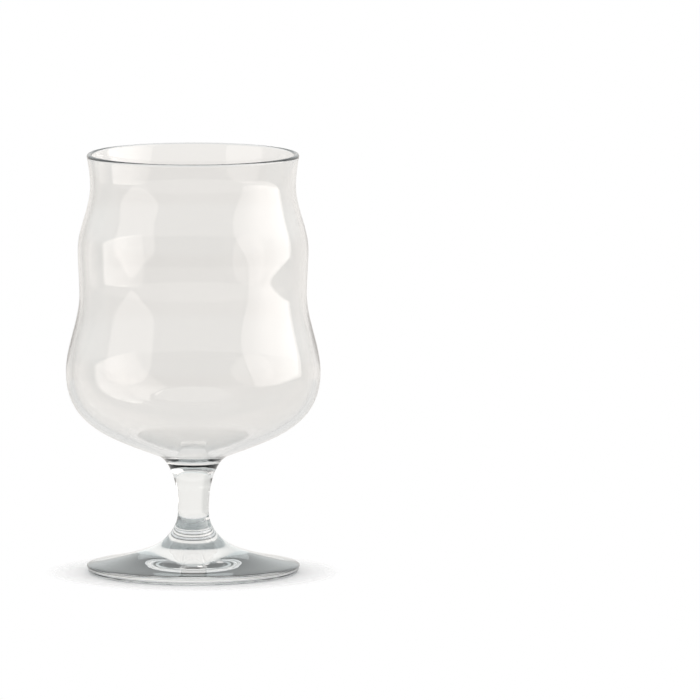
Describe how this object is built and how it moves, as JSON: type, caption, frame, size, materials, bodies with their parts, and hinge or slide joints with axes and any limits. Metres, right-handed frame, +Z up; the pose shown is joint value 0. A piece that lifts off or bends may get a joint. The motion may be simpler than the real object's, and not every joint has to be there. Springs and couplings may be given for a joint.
{
  "type": "tulip beer glass",
  "caption": "Clear tulip beer glass: a wavy bowl with a flared lip, fused onto a short waisted stem and a round sloping foot.",
  "frame": {"origin": "on the table under the middle of the foot", "axes": "+Z up along the axis of the glass; it is round, so +X and +Y are any two level directions at right angles"},
  "size_m": [0.0847, 0.0846, 0.14],
  "materials": {
    "bowl_glass": "polished clear",
    "stem_glass": "polished clear",
    "foot_glass": "polished clear"
  },
  "bodies": {
    "root": {"bowl": "bowl_glass", "stem": "stem_glass", "foot": "foot_glass"}
  },
  "joints": []
}
